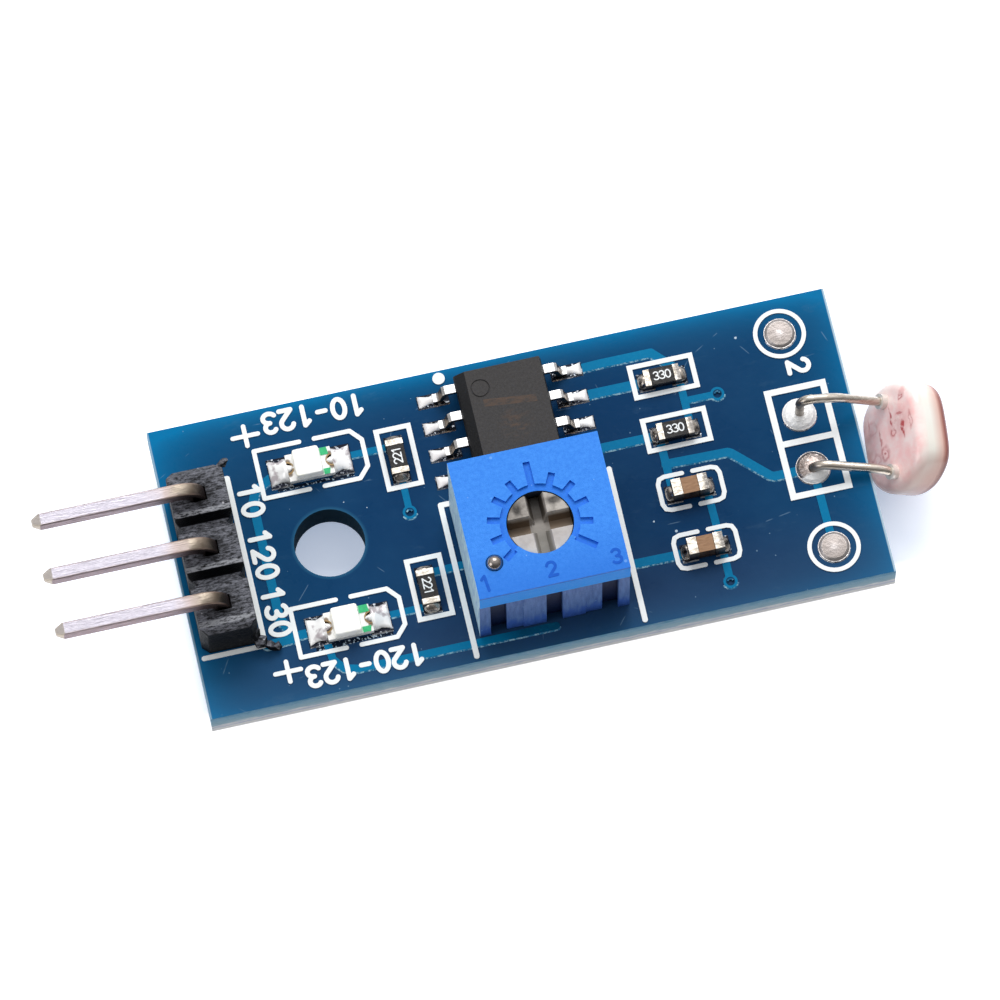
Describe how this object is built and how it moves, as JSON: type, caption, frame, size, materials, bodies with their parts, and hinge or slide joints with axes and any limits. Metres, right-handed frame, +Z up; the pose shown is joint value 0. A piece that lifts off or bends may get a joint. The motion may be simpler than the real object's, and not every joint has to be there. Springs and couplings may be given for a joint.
{
  "type": "light sensor module",
  "caption": "Small blue board with a light dependent resistor at one end, a turning trimmer, a comparator chip, indicator lamps and a right-angle pin header.",
  "frame": {"origin": "axis of the mounting hole at the board's underside", "axes": "+X along the board from the header to the light sensor, +Y across the board, +Z up out of the component side"},
  "size_m": [0.0398, 0.0136, 0.0082],
  "materials": {
    "board": "glossy solder mask over glass-fibre laminate",
    "tracks": "copper seen through the blue solder mask",
    "pads": "tinned copper",
    "print": "white printed ink",
    "strip": "moulded black plastic",
    "pins": "tin-plated brass",
    "solder": "shiny solder",
    "trimmer_case": "moulded blue plastic",
    "trimmer_rotor": "moulded cream plastic",
    "trimmer_ceramic": "fired ceramic",
    "trimmer_seal": "potting resin",
    "contact": "spring brass",
    "ball": "polished steel",
    "chip": "moulded black epoxy",
    "leads": "tinned copper alloy",
    "resistor": "ceramic with a black coat",
    "capacitor": "fired ceramic",
    "ends": "tinned end caps",
    "lamp_carrier": "pale laminate",
    "lamp_lens": "milky epoxy",
    "sensor_coat": "clear resin over pale ceramic",
    "sensor_layer": "light-sensitive layer under resin",
    "sensor_wire": "tinned steel wire"
  },
  "bodies": {
    "module": {"circuit_board": "board", "top_tracks": "tracks", "top_pads": "pads", "bottom_tracks": "tracks", "bottom_pads": "pads", "print_marks": "print", "header_strip": "strip", "header_pin_1": "pins", "header_pin_2": "pins", "header_pin_3": "pins", "header_solder": "solder", "trimmer_case": "trimmer_case", "trimmer_base": "trimmer_seal", "trimmer_element": "trimmer_ceramic", "trimmer_pin_1": "pins", "trimmer_pin_2": "pins", "trimmer_pin_3": "pins", "trimmer_ball": "ball", "trimmer_solder": "solder", "comparator_body": "chip", "comparator_lead_1": "leads", "comparator_lead_2": "leads", "comparator_lead_3": "leads", "comparator_lead_4": "leads", "comparator_lead_5": "leads", "comparator_lead_6": "leads", "comparator_lead_7": "leads", "comparator_lead_8": "leads", "comparator_solder": "solder", "resistor_1": "resistor", "resistor_2": "resistor", "resistor_3": "resistor", "resistor_4": "resistor", "resistor_1_ends": "ends", "resistor_2_ends": "ends", "resistor_3_ends": "ends", "resistor_4_ends": "ends", "capacitor_1": "capacitor", "capacitor_2": "capacitor", "capacitor_1_ends": "ends", "capacitor_2_ends": "ends", "lamp_1_carrier": "lamp_carrier", "lamp_2_carrier": "lamp_carrier", "lamp_1_lens": "lamp_lens", "lamp_2_lens": "lamp_lens", "lamp_1_ends": "ends", "lamp_2_ends": "ends", "chip_solder": "solder", "sensor_disc": "sensor_coat", "sensor_layer": "sensor_layer", "sensor_electrodes": "pads", "sensor_lead_1": "sensor_wire", "sensor_lead_2": "sensor_wire", "sensor_collars": "solder", "sensor_solder": "solder", "spare_solder": "solder"},
    "rotor": {"trimmer_rotor": "trimmer_rotor", "trimmer_wiper": "contact"}
  },
  "joints": [
    {"name": "trimmer_turn", "type": "hinge", "parent": "module", "child": "rotor", "pos_m": [0.00872, -0.0029, 0.0055], "axis": [0, 0, 1], "range_deg": [-130, 130]}
  ]
}
